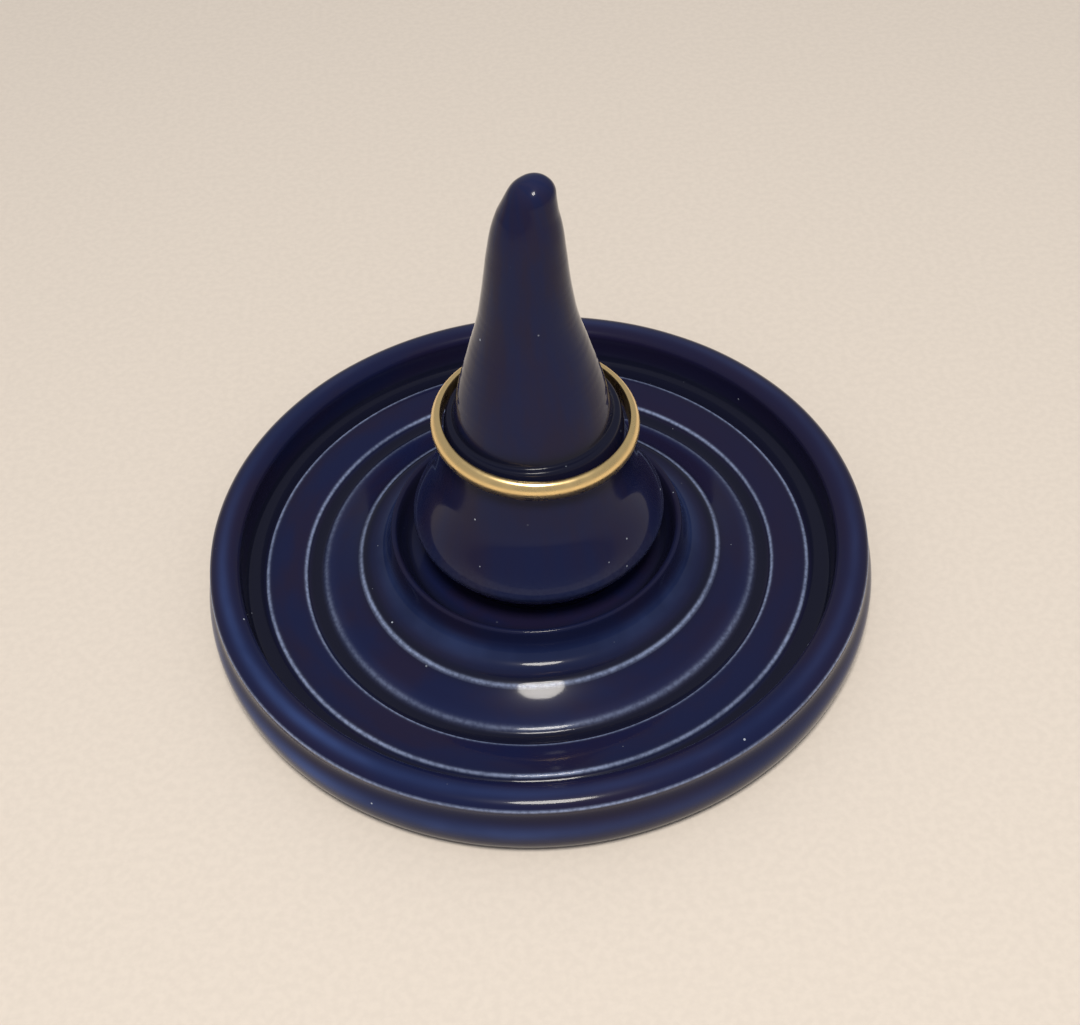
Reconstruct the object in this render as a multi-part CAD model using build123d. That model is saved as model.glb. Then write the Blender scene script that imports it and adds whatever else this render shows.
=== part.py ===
from build123d import *
import os
from math import cos, radians, sin

# Ring dish: a small glazed saucer with stepped rings, a hollow post that stands in
# its middle, and a plain wedding band that lies over the post's shoulder.
# Millimetres, +Z up, origin on the table under the middle of the dish.
# Radii run from the middle outwards and heights run from the table upwards, each as
# a step from the one before it, so that any one of them can change by itself.

# Post, radial steps from the cone's foot outwards and down to the neck
cone_foot_radius = 8.05
shelf_run = 0.4
shoulder_roll = 0.45
seat_swell = 0.3
waist_swell = 1.1
belly_swell = 2.85
neck_tuck = 2.75

# Post, heights from its foot upwards
belly_height = 4.9
waist_rise = 6.3
seat_rise = 4.35
shoulder_rise = 2.85
cone_height = 25.6
cone_tip_radius = 2.5
tip_lean = 0.95
cone_fillet = 0.35
post_wall = 3.0
post_off_centre = 0.45
cavity_top_radius = 1.2

# Cone sections, as shares of the cone's height, of its foot radius and of its lean
cone_height_shares = [0.0, 0.155, 0.31, 0.465, 0.62, 0.775, 0.89, 1.0]
cone_radius_shares = [1.0, 0.885, 0.745, 0.605, 0.517, 0.441, 0.381, 0.305]
cone_lean_shares = [0.0, 0.0, 0.02, 0.05, 0.12, 0.4, 0.7, 1.0]

# Dish, radial steps from the post outwards
post_gap = 2.8
crest_run = 2.1
flank_run = 2.85
valley_run = 0.85
inner_land_run = 4.0
band_groove_run = 2.0
outer_land_run = 4.0
channel_run = 2.7
rim_inner_run = 1.3
rim_outer_run = 2.0
wall_bulge = 0.65
wall_cove = 0.08

# Dish, heights
recess_depth = 0.8
floor_thickness = 2.35
channel_depth = 0.65
outer_land_fall = 0.25
band_groove_depth = 0.5
inner_land_step = 0.3
inner_land_fall = 1.65
valley_depth = 0.35
hump_rise = 4.1
crest_ease = 0.25
post_groove_depth = 2.6
rim_rise = 2.8
rim_crown = 0.9
land_crown = 0.12

# Dish, underside
foot_inset = 1.35
foot_width = 3.3
recess_slope_run = 0.8
hub_thickness = 3.0
dome_slope_run = 4.0
dome_inset = 3.0
vent_radius = 1.5

# Band
band_thickness = 1.12
band_width = 2.4
band_crown = 0.5
band_inner_crown = 0.14
band_edge_radius = 0.18
band_clearance = 0.13
band_tilt = 3.1
band_shift = 0.18
band_sink = 0.2

# Post radii
shelf_radius = cone_foot_radius + shelf_run
shoulder_radius = shelf_radius + shoulder_roll
seat_radius = shoulder_radius + seat_swell
waist_radius = seat_radius + waist_swell
belly_radius = waist_radius + belly_swell
neck_radius = belly_radius - neck_tuck

# Post heights above its foot
waist_height = belly_height + waist_rise
seat_height = waist_height + seat_rise
shoulder_height = seat_height + shoulder_rise
cone_top_height = shoulder_height + cone_height

# Dish radii
groove_radius = neck_radius + post_gap
crest_radius = groove_radius + crest_run
valley_radius = crest_radius + flank_run
line4_radius = valley_radius + valley_run
line3_radius = line4_radius + inner_land_run
line2_radius = line3_radius + band_groove_run
line1_radius = line2_radius + outer_land_run
rim_inner_radius = line1_radius + channel_run
rim_crest_radius = rim_inner_radius + rim_inner_run
rim_radius = rim_crest_radius + rim_outer_run
wall_radius = rim_radius + wall_bulge

# Dish heights above the table
channel_z = recess_depth + floor_thickness
line1_z = channel_z + channel_depth
line2_z = line1_z - outer_land_fall
line3_z = line2_z - inner_land_step
line4_z = line3_z + inner_land_fall
valley_z = line4_z - valley_depth
crest_z = line4_z + hump_rise
groove_z = crest_z - post_groove_depth
rim_z = line1_z + rim_rise
rim_crest_z = rim_z + rim_crown
band_groove_z = line3_z - band_groove_depth
foot_radius = rim_radius - foot_inset
hub_z = groove_z - hub_thickness
dome_radius = crest_radius - dome_inset


def smooth(start, start_pull, end_pull, end):
    # One smooth curve between two points, drawn towards two others on its way
    return Bezier(start, start_pull, end_pull, end)


def between(low, high, share):
    return low + (high - low) * share


def turned(edges):
    # The solid that a closed outline, right of the axis, sweeps about the Z axis
    outline = make_face(Wire(edges))
    return revolve(Plane.XZ * outline, Axis.Z)


def hump_edges():
    # From the groove round the post over the crest, steeply down and out to the valley
    wall_pull_share, crest_pull_share = 0.55, 0.45
    flank_out_share, flank_drop_share = 0.175, 0.674
    flare_run_share, flare_rise_share = 0.754, 0.03
    corner = (groove_radius, groove_z)
    crest = (crest_radius, crest_z)
    valley = (valley_radius, valley_z)
    return [
        smooth(corner,
               (between(groove_radius, crest_radius, wall_pull_share), groove_z),
               (between(crest_radius, groove_radius, crest_pull_share), crest_z), crest),
        smooth(crest,
               (between(crest_radius, valley_radius, flank_out_share),
                between(crest_z, valley_z, flank_drop_share)),
               (between(valley_radius, crest_radius, flare_run_share),
                between(valley_z, crest_z, flare_rise_share)), valley),
    ]


def land_edges():
    # The two raised lands with the groove between them, and the channel to the rim
    valley_share, run_share, top_share, foot_share = 0.6, 0.33, 0.557, 0.237
    middle_share = 0.5
    valley = (valley_radius, valley_z)
    line4 = (line4_radius, line4_z)
    line3 = (line3_radius, line3_z)
    line2 = (line2_radius, line2_z)
    line1 = (line1_radius, line1_z)
    middle = (between(line2_radius, line1_radius, middle_share),
              between(line2_z, line1_z, middle_share) + land_crown)
    return [
        smooth(valley, (between(valley_radius, line4_radius, valley_share), valley_z),
               (line4_radius, between(valley_z, line4_z, valley_share)), line4),
        smooth(line4,
               (between(line4_radius, line3_radius, run_share),
                between(line3_z, line4_z, top_share)),
               (between(line3_radius, line4_radius, run_share),
                between(line3_z, line4_z, foot_share)), line3),
        smooth(line3, (line3_radius, band_groove_z), (line2_radius, band_groove_z), line2),
        ThreePointArc(line2, middle, line1),
        channel_edge(),
    ]


def channel_edge():
    # The channel drops steeply from the land, runs flat and ends at the rim's wall
    near_share, far_share = 0.1, 0.62
    return smooth((line1_radius, line1_z),
                  (between(line1_radius, rim_inner_radius, near_share), channel_z),
                  (between(line1_radius, rim_inner_radius, far_share), channel_z),
                  channel_end())


def channel_end():
    end_run_share, end_rise_share = 0.82, 0.12
    return (between(line1_radius, rim_inner_radius, end_run_share),
            between(channel_z, rim_z, end_rise_share))


def rim_edges():
    # The rounded rim, its sharp outer line and the bulging wall below it
    wall_foot_share, wall_share, crown_share, outer_share = 0.3, 0.6, 0.55, 0.55
    line_share, ease_share, foot_share = 0.88, 0.45, 0.55
    cove_share, bulge_share, tuck_share = 0.88, 0.42, 0.12
    inner = (rim_inner_radius, rim_z)
    crest = (rim_crest_radius, rim_crest_z)
    line = (rim_radius, rim_z)
    cove = (rim_radius - wall_cove, rim_z * cove_share)
    bulge = (wall_radius, rim_z * bulge_share)
    foot = (foot_radius, 0)
    end = channel_end()
    return [
        smooth(end, (rim_inner_radius, between(end[1], rim_z, wall_foot_share)),
               (rim_inner_radius, between(end[1], rim_z, wall_share)), inner),
        smooth(inner, (rim_inner_radius, between(rim_z, rim_crest_z, crown_share)),
               (between(rim_crest_radius, rim_inner_radius, crown_share), rim_crest_z), crest),
        smooth(crest, (between(rim_crest_radius, rim_radius, outer_share), rim_crest_z),
               (between(rim_crest_radius, rim_radius, line_share),
                between(rim_z, rim_crest_z, outer_share)), line),
        Line(line, cove),
        smooth(cove, (cove[0], between(cove[1], bulge[1], ease_share)),
               (wall_radius, between(bulge[1], cove[1], ease_share)), bulge),
        smooth(bulge, (wall_radius, rim_z * tuck_share),
               (between(foot_radius, wall_radius, foot_share), 0), foot),
    ]


def underside_edges():
    # Foot ring, recess, the dome under the post and the vent hole
    foot_inner = foot_radius - foot_width
    recess_outer = foot_inner - recess_slope_run
    dome_outer = dome_radius + dome_slope_run
    ease_share = 0.45
    return [
        Line((foot_radius, 0), (foot_inner, 0)),
        smooth((foot_inner, 0), (between(foot_inner, recess_outer, ease_share), 0),
               (between(recess_outer, foot_inner, ease_share), recess_depth),
               (recess_outer, recess_depth)),
        Line((recess_outer, recess_depth), (dome_outer, recess_depth)),
        smooth((dome_outer, recess_depth),
               (between(dome_outer, dome_radius, ease_share), recess_depth),
               (between(dome_radius, dome_outer, ease_share), hub_z),
               (dome_radius, hub_z)),
        Line((dome_radius, hub_z), (vent_radius, hub_z)),
        Line((vent_radius, hub_z), (vent_radius, groove_z)),
        Line((vent_radius, groove_z), (groove_radius, groove_z)),
    ]


def dish():
    # The saucer, with the soft edge that glaze gives the collar's crest
    solid = turned(hump_edges() + land_edges() + rim_edges() + underside_edges())
    crest = solid.edges().filter_by_position(Axis.Z, crest_z, crest_z)
    return fillet(crest, crest_ease)


def post_profile():
    # Outer outline of the bulb, from the foot's edge to the top of the shoulder
    belly = (belly_radius, belly_height)
    waist = (waist_radius, waist_height)
    seat = (seat_radius, seat_height)
    top = (shelf_radius, shoulder_height)
    neck_share, low_share, tuck_share = 0.1, 0.3, 0.74
    swell_share, flank_run_share, flank_rise_share = 0.143, 0.298, 0.73
    near_run_share, near_rise_share, far_run_share, far_rise_share = 0.5, 0.253, 0.755, 0.7
    roll_share, rise_share = 0.5, 0.55
    return [
        smooth((neck_radius, 0),
               (between(neck_radius, belly_radius, neck_share), belly_height * low_share),
               (belly_radius, belly_height * tuck_share), belly),
        smooth(belly, (belly_radius, between(belly_height, waist_height, swell_share)),
               (between(waist_radius, belly_radius, flank_run_share),
                between(belly_height, waist_height, flank_rise_share)), waist),
        smooth(waist, (between(waist_radius, seat_radius, near_run_share),
                       between(waist_height, seat_height, near_rise_share)),
               (between(waist_radius, seat_radius, far_run_share),
                between(waist_height, seat_height, far_rise_share)), seat),
        smooth(seat, (between(seat_radius, shoulder_radius, roll_share),
                      between(seat_height, shoulder_height, rise_share)),
               (shoulder_radius, shoulder_height), top),
    ]


def bulb():
    outline = post_profile()
    close = [
        Line((shelf_radius, shoulder_height), (0, shoulder_height)),
        Line((0, shoulder_height), (0, 0)),
        Line((0, 0), (neck_radius, 0)),
    ]
    return turned(outline + close)


def cone():
    # Round sections that shrink and drift to one side, closed by a round tip
    sections = []
    for height_share, radius_share, lean_share in zip(
            cone_height_shares, cone_radius_shares, cone_lean_shares):
        place = (tip_lean * lean_share, 0, shoulder_height + cone_height * height_share)
        sections.append(Plane(place) * Circle(cone_foot_radius * radius_share))
    tip = Pos(tip_lean, 0, cone_top_height) * Sphere(cone_tip_radius)
    return loft(sections) + tip


def cavity():
    # The hollow that the casting leaves: the outline less the wall, up into the cone
    neck = neck_radius - post_wall
    belly = belly_radius - post_wall
    seat = seat_radius - post_wall
    low_share, high_share, swell_share, top_share = 0.4, 0.6, 0.35, 0.55
    top_height = shoulder_height + cone_height * top_share
    corner = (cavity_top_radius, top_height)
    edges = [
        Line((0, 0), (neck, 0)),
        smooth((neck, 0), (neck, belly_height * low_share), (belly, belly_height * high_share),
               (belly, belly_height)),
        smooth((belly, belly_height),
               (belly, between(belly_height, seat_height, swell_share)),
               (seat, between(belly_height, seat_height, high_share)), (seat, seat_height)),
        Line((seat, seat_height), corner),
        Line(corner, (0, top_height)),
        Line((0, top_height), (0, 0)),
    ]
    return turned(edges)


def post():
    outside = bulb() + cone()
    shelf = outside.edges().filter_by_position(Axis.Z, shoulder_height, shoulder_height)
    outside = fillet(shelf.sort_by(SortBy.LENGTH)[0], cone_fillet)
    return Pos(post_off_centre, 0, groove_z) * (outside - cavity())


def band():
    # A plain band with a crowned outside and a lightly crowned bore
    bore_radius = seat_radius + band_clearance
    half = band_width / 2
    inner = bore_radius + band_inner_crown
    outer = bore_radius + band_thickness - band_crown
    edges = [
        ThreePointArc((inner, -half), (bore_radius, 0), (inner, half)),
        Line((inner, half), (outer, half)),
        ThreePointArc((outer, half), (bore_radius + band_thickness, 0), (outer, -half)),
        Line((outer, -half), (inner, -half)),
    ]
    ring = turned(edges)
    ring = fillet(ring.edges().filter_by(GeomType.CIRCLE), band_edge_radius)
    lift = bore_radius * sin(radians(band_tilt)) + half * cos(radians(band_tilt))
    centre = (post_off_centre + band_shift, 0, groove_z + seat_height + lift - band_sink)
    return Pos(*centre) * Rot(0, band_tilt, 0) * ring


os.makedirs("parts", exist_ok=True)
for name, solid in {"dish": dish(), "post": post(), "ring_band": band()}.items():
    export_step(solid, "parts/" + name + ".step")
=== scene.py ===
"""Ring dish: a glazed saucer with turned rings, a leaning post on a bulb, and a plain gold band.

The dish, the post and the band are each turned from an outline about their own axis. The
outlines follow the sizes below, in metres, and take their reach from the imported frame.
"""

import math

import bpy
import numpy as np
from bpy.props import FloatProperty, FloatVectorProperty, IntProperty, PointerProperty
from mathutils import Euler, Matrix, Vector


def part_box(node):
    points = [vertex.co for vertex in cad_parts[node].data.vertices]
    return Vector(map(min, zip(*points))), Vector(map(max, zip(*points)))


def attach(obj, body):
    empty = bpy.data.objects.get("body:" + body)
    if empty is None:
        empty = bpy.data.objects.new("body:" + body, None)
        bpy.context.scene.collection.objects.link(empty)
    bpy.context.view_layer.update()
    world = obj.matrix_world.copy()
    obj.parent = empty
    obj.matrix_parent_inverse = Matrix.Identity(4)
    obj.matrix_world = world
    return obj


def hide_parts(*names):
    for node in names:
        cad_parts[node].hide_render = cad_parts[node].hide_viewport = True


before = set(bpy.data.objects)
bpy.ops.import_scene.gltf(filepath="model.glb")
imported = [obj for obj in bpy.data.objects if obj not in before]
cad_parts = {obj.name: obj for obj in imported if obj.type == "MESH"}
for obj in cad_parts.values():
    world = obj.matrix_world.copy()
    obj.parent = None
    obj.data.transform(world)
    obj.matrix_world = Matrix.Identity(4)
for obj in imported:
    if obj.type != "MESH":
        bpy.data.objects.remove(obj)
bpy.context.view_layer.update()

bl_info = {
    "name": "Ring dish",
    "version": (1, 0, 0),
    "blender": (4, 5, 0),
    "location": "3D View > Sidebar > Ring dish",
    "description": "Turns a glazed ring dish with its post and band, and sets the stage",
    "category": "Object",
}

MM = 0.001

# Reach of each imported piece, which the outlines follow
DISH_LOW, DISH_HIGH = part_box("dish")
POST_LOW, POST_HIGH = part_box("post")
BAND_LOW, BAND_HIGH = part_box("ring_band")

# Lengths of one step along an outline: on the tightest curves, elsewhere, and out of sight
FINEST_STEP = 0.1 * MM
FINE_STEP = 0.2 * MM
COARSE_STEP = 0.8 * MM

# Steps round a corner that is eased, over the nose, and between two knots of the cone
EASE_STEPS = 8
NOSE_STEPS = 14
KNOT_STEPS = 16

# Points that lie this close together become one
WELD = 0.001 * MM

# Faces below this height are the bare foot
FOOT_HEIGHT = 0.02 * MM

# Curve of the cone between its foot and its tip, as shares of its height and foot radius
CONE_HEIGHT_SHARES = (1.0, 0.89, 0.775, 0.62, 0.465, 0.31, 0.155, 0.0)
CONE_RADIUS_SHARES = (0.28, 0.4, 0.458, 0.52, 0.605, 0.745, 0.885, 1.0)

# How far up the cone its lean and its uneven clay set in, and where the nub starts
LEAN_POWER = 3.7
UNEVEN_POWER = 8
NUB_START = 0.87

# How unevenly the turning marks on the cone are spaced, and how late they fade at its foot
RIPPLE_SWAY = 2.3
RIPPLE_FADE_POWER = 6

# How far each turned line strays, in millimetres: to the right, to the back, oval and trefoil
LINE_STRAYS = {"moat": (0.0, 0.0, 0.0, 0.0), "line4": (0.11, -0.14, 0.22, 0.18),
               "line3": (0.0, -0.05, 0.1, 0.2), "line2": (0.0, -0.15, 0.1, 0.13),
               "line1": (-0.18, -0.03, 0.1, 0.11), "crest": (0.12, 0.0, 0.05, 0.05)}
OVAL_BEARING = math.radians(15)
TREFOIL_BEARING = math.radians(12)

# Where the glaze breaks on the dish: the line, how strongly, and its reach in millimetres
BROKEN_LINES = (("line1", 1.4, 0.18), ("line2", 1.3, 0.17), ("line3", 0.42, 0.28),
                ("line4", 1.3, 0.18), ("rim", 1.5, 0.14))

# The side of the dish where the painted glow is strongest; the glaze is drawn darker away from it
GLOW_SIDE = (-0.7, -0.7, 0.0)

# Colours of the light from the lamp and from the room
LAMP_LIGHT = 0xFFF9F0
ROOM_LIGHT = 0xFCFCFF


def size(mm, name, description):
    """A length in the sidebar, whose default is given in millimetres."""
    return FloatProperty(name=name, description=description, default=mm * MM, min=0.0,
                         precision=5, unit="LENGTH")


def turn(degrees, name, description):
    """An angle in the sidebar, whose default is given in degrees."""
    return FloatProperty(name=name, description=description,
                         default=math.radians(degrees), subtype="ANGLE")


def tint(hex_value, name, description):
    """A colour in the sidebar, whose default is an sRGB hex value."""
    return FloatVectorProperty(name=name, description=description, size=3, min=0.0, max=1.0,
                               default=linear(hex_value), subtype="COLOR")


def linear(hex_value):
    """Scene-linear red, green and blue of an sRGB hex value such as 0x1C2148."""
    channels = [(hex_value >> shift & 0xFF) / 255 for shift in (16, 8, 0)]
    return tuple(c / 12.92 if c <= 0.04045 else ((c + 0.055) / 1.055) ** 2.4
                 for c in channels)


class DishSizes(bpy.types.PropertyGroup):
    """Sizes of the saucer, from its wall inwards and from its crest downwards."""
    wall_bulge: size(0.65, "Wall bulge", "How far the wall stands out past the rim's line")
    rim_outer_run: size(2.0, "Rim outer run", "Rim crest to the rim's outer line")
    rim_inner_run: size(1.3, "Rim inner run", "Rim crest to the rim's inner wall")
    channel_run: size(2.7, "Channel run", "Width of the channel inside the rim")
    outer_land_run: size(4.0, "Outer land run", "Width of the outer raised land")
    groove_run: size(2.0, "Groove run", "Width of the groove between the lands")
    inner_land_run: size(4.0, "Inner land run", "Width of the inner sloping land")
    valley_run: size(0.85, "Valley run", "Width of the valley at the collar's foot")
    flank_run: size(2.85, "Flank run", "Collar's crest to its foot, measured flat")
    crest_run: size(2.1, "Crest run", "Collar's crest to the groove round the post")
    collar_rise: size(4.1, "Collar rise", "Inner land's edge up to the collar's crest")
    crest_loss: size(0.16, "Crest loss", "How much the rounding takes off the crest")
    crest_ease: size(0.55, "Crest ease", "How far the collar's crest is rounded")
    inner_land_fall: size(1.65, "Inner land fall", "How far the inner land slopes down")
    groove_step: size(0.3, "Groove step", "Outer edge of the groove above its inner edge")
    outer_land_rise: size(0.25, "Outer land rise", "How far the outer land slopes up")
    land_crown: size(0.12, "Land crown", "How far the outer land is crowned")
    channel_depth: size(0.65, "Channel depth", "Outer land's edge down to the channel")
    groove_depth: size(0.5, "Groove depth", "Inner land's edge down into the groove")
    valley_lift: size(0.3, "Valley lift", "Inner land's line up to the valley")
    rim_rise: size(2.8, "Rim rise", "Outer land's edge up to the rim's lines")
    rim_crown: size(0.9, "Rim crown", "Rim's lines up to its crest")
    wall_cove: size(0.08, "Wall cove", "How far the wall is drawn in under the rim's line")
    line_ease: size(0.3, "Line ease", "How far each turned line is rounded")
    rim_ease: size(0.13, "Rim ease", "How far the rim's outer line is rounded")
    foot_inset: size(1.35, "Foot inset", "Rim's line in to the foot ring")
    foot_width: size(3.3, "Foot width", "Width of the bare foot ring")
    foot_ease: size(0.35, "Foot ease", "How far the foot ring's edges are rounded")
    recess_depth: size(0.8, "Recess depth", "Foot ring up to the glazed recess")
    recess_slope: size(0.8, "Recess slope", "Width of the slope into the recess")
    dome_run: size(4.0, "Dome run", "Width of the slope up to the hub")
    hub_radius: size(12.3, "Hub radius", "Flat underside below the post")
    hub_thickness: size(3.0, "Hub thickness", "Clay between the hub and the post")
    vent_radius: size(1.5, "Vent radius", "Hole that lets the hollow post breathe in firing")
    lump_depth: size(0.06, "Lump depth", "How far the hand-pressed surface wavers")
    lump_size: size(9.0, "Lump size", "Spacing of that wavering")
    steps_around: IntProperty(name="Steps around", description="Faces in one turn",
                              default=240, min=24)


class PostSizes(bpy.types.PropertyGroup):
    """Sizes of the post, from the cone's foot outwards and from its own foot upwards."""
    off_centre: size(0.45, "Off centre", "How far the post was set to one side")
    cone_foot: size(8.05, "Cone foot radius", "Radius of the cone where it leaves the bulb")
    shelf_run: size(0.4, "Shelf run", "Narrow shelf round the cone's foot")
    shoulder_roll: size(0.45, "Shoulder roll", "Shelf out to the shoulder")
    seat_swell: size(0.3, "Seat swell", "Shoulder out to the band's seat")
    waist_swell: size(1.15, "Waist swell", "Band's seat out to the waist")
    belly_swell: size(2.8, "Belly swell", "Waist out to the belly")
    neck_tuck: size(2.75, "Neck tuck", "Belly in to the foot of the post")
    belly_height: size(4.9, "Belly height", "Foot up to the belly")
    waist_rise: size(6.3, "Waist rise", "Belly up to the waist")
    seat_rise: size(4.35, "Seat rise", "Waist up to the band's seat")
    shoulder_rise: size(2.85, "Shoulder rise", "Seat up to the shelf")
    shelf_ease: size(0.3, "Shelf ease", "Glaze that fills the corner at the cone's foot")
    tip_radius: size(2.33, "Tip radius", "Round nose on the cone")
    tip_lean: size(0.95, "Tip lean", "How far the cone's tip leans to the right")
    nub_lean: size(0.45, "Nub lean", "How far the very tip was pinched to the right")
    wall: size(3.0, "Wall", "Clay round the hollow")
    ripple_depth: size(0.013, "Ripple depth", "Height of the turning marks on the cone")
    ripple_pitch: size(1.5, "Ripple pitch", "Spacing of the turning marks")
    lump_depth: size(0.17, "Lump depth", "How far the smoothed clay wavers")
    lump_size: size(2.0, "Lump size", "Spacing of that wavering")
    steps_around: IntProperty(name="Steps around", description="Faces in one turn",
                              default=200, min=24)


class BandSizes(bpy.types.PropertyGroup):
    """Sizes of the plain band."""
    bore_radius: size(9.33, "Bore radius", "Inside of the band at its middle")
    thickness: size(1.12, "Thickness", "Bore to the outside at its middle")
    width: size(2.4, "Width", "Height of the band along its axis")
    crown: size(0.62, "Crown", "How far the outside is rounded")
    bore_crown: size(0.14, "Bore crown", "How far the bore is rounded")
    edge_ease: size(0.3, "Edge ease", "How far the four edges are rounded")
    tilt: turn(3.1, "Tilt", "How far the band leans as it hangs on the shoulder")
    steps_around: IntProperty(name="Steps around", description="Faces in one turn",
                              default=288, min=24)


class FinishLook(bpy.types.PropertyGroup):
    """Colours of the glaze, the bare clay, the gold and the floor."""
    glaze_body: tint(0x161C3F, "Glaze body", "Cobalt glaze at its usual thickness")
    # Also laid on towards the back right, darker away from the glow side
    glaze_thick: tint(0x1E1B36, "Glaze thick", "Cobalt glaze where it ran a little thicker")
    # Glaze gathered in hollows; painted shade at the wall's foot, the moat's slope and under the
    # band
    glaze_pool_and_shade: tint(0x151729, "Glaze pools, painted shade", "Cobalt glaze gathered in a hollow, also painted shade")
    # A painted glow: reflected blue light laid into the glaze's colour over the roundings
    painted_glow: tint(0x374C82, "Painted glow on a swell", "Blue glow painted over a rounding, for reflected light")
    glaze_broken: tint(0x8896BA, "Glaze broken", "Glaze on an edge, where the clay shows through")
    speck: tint(0xB9C2D2, "Specks", "Pale pinholes in the glaze")
    clay: tint(0xD9CDB8, "Bare clay", "Unglazed stoneware on the foot ring")
    gold: tint(0xFFDFA0, "Gold", "Yellow gold of the band")
    floor: tint(0xE4DACF, "Floor", "Plain pale floor")


class StageSizes(bpy.types.PropertyGroup):
    """Places of the camera and the lamp, and the levels of light."""
    camera_elevation: turn(47.501, "Camera elevation", "Camera's look downwards")
    camera_roll: turn(-3.425, "Camera roll", "Camera's lean about its own axis")
    camera_distance: size(181.99, "Camera distance", "Lens to the middle of the rim's plane")
    aim_right: size(0.431, "Aim right", "Camera's own step to the right")
    aim_up: size(2.164, "Aim up", "Camera's own step upwards")
    sensor_width: size(36.0, "Sensor width", "Width of the camera's sensor")
    lens_share: FloatProperty(name="Lens share", description="Lens length over sensor width",
                              default=1700 / 1080)
    lamp_elevation: turn(68.0, "Lamp elevation", "Height of the lamp above the horizon")
    lamp_distance: size(600.0, "Lamp distance", "Dish to the lamp")
    lamp_width: size(160.0, "Lamp width", "Width of the lamp's round face")
    lamp_power: FloatProperty(name="Lamp power", description="Power of the lamp", default=2.85,
                              unit="POWER")
    room_level: FloatProperty(name="Room level", description="Soft light from all round",
                              default=0.35)
    floor_reach: size(3000.0, "Floor reach", "Width of the floor")


# Outlines, as rows of radius and height


def between(low, high, share):
    """What lies a share of the way from one value or point to another. A point may have one
    share for its radius and one for its height."""
    return low + (high - low) * share


def stepped(start, end, step):
    """Shares from 0 to 1 that cut the way between two points into steps of about one length."""
    length = math.dist(start, end)
    return np.linspace(0.0, 1.0, max(3, math.ceil(length / step) + 1))[:, None]


def straight(start, end, step=FINE_STEP):
    """Points of a straight run."""
    t = stepped(start, end, step)
    return (1 - t) * start + t * end


def curve(start, start_pull, end_pull, end, step=FINE_STEP):
    """Points of one smooth curve that sets off towards one pull and arrives from the other."""
    t = stepped(start, end, step)
    rest = 1 - t
    return (rest ** 3 * start + 3 * rest ** 2 * t * start_pull
            + 3 * rest * t ** 2 * end_pull + t ** 3 * end)


def bent(start, end, leaving, arriving, step=FINE_STEP):
    """Points of one smooth curve. Each pull is given from its own end, as shares of the way
    to the other end in radius and in height."""
    start, end = np.array(start), np.array(end)
    return curve(start, between(start, end, leaving), between(end, start, arriving), end, step)


def through(knots, steps_between):
    """Points of a smooth curve through every knot, which leaves each along its neighbours."""
    knots = np.array(knots)
    slopes = np.gradient(knots, axis=0)
    points = [knots[:1]]
    for start, end, away, into in zip(knots, knots[1:], slopes, slopes[1:]):
        t = np.linspace(0.0, 1.0, steps_between + 1)[1:, None]
        points.append((2 * t ** 3 - 3 * t ** 2 + 1) * start + (t ** 3 - 2 * t ** 2 + t) * away
                      + (3 * t ** 2 - 2 * t ** 3) * end + (t ** 3 - t ** 2) * into)
    return np.vstack(points)


def eased(runs):
    """One outline from runs that meet end to start. A run's ease rounds the corner before it."""
    outline = runs[0][0]
    for points, ease in runs[1:]:
        corner = points[0]
        if not ease:
            outline = np.vstack([outline, points[1:]])
            continue
        before = outline[np.linalg.norm(outline - corner, axis=1) > ease]
        after = points[np.linalg.norm(points - corner, axis=1) > ease]
        start = corner + (before[-1] - corner) * ease / np.linalg.norm(before[-1] - corner)
        end = corner + (after[0] - corner) * ease / np.linalg.norm(after[0] - corner)
        t = np.linspace(0.0, 1.0, EASE_STEPS + 1)[:, None]
        bend = (1 - t) ** 2 * start + 2 * t * (1 - t) * corner + t ** 2 * end
        outline = np.vstack([before, bend, after])
    return outline


def bulge(outline, window):
    """How far the outline bends outwards within a window of that length, in radians, at each
    of its points. It is below zero in a hollow."""
    legs = np.diff(outline, axis=0)
    lengths = np.linalg.norm(legs, axis=1)
    along = np.concatenate([[0.0], np.cumsum(lengths)])
    heading = np.unwrap(np.arctan2(legs[:, 1], legs[:, 0]))
    middles = (along[:-1] + along[1:]) / 2
    ahead = np.interp(along + window / 2, middles, heading)
    behind = np.interp(along - window / 2, middles, heading)
    return behind - ahead


def hollow_marks(outline):
    """Where the outline turns inwards, from 0 to 1, so that the glaze pools."""
    window, start, full = 1.2 * MM, 0.15, 1.2
    return np.clip((-bulge(outline, window) - start) / (full - start), 0, 1)


def marked(outline, spots):
    """How strongly spots mark each point of the outline. A spot is its strength, its place and
    its reach in millimetres, by which it has faded to about a third."""
    return sum(strength * np.exp(-(np.linalg.norm(outline - place, axis=1) / (reach * MM)) ** 2)
               for strength, place, reach in spots)


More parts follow.
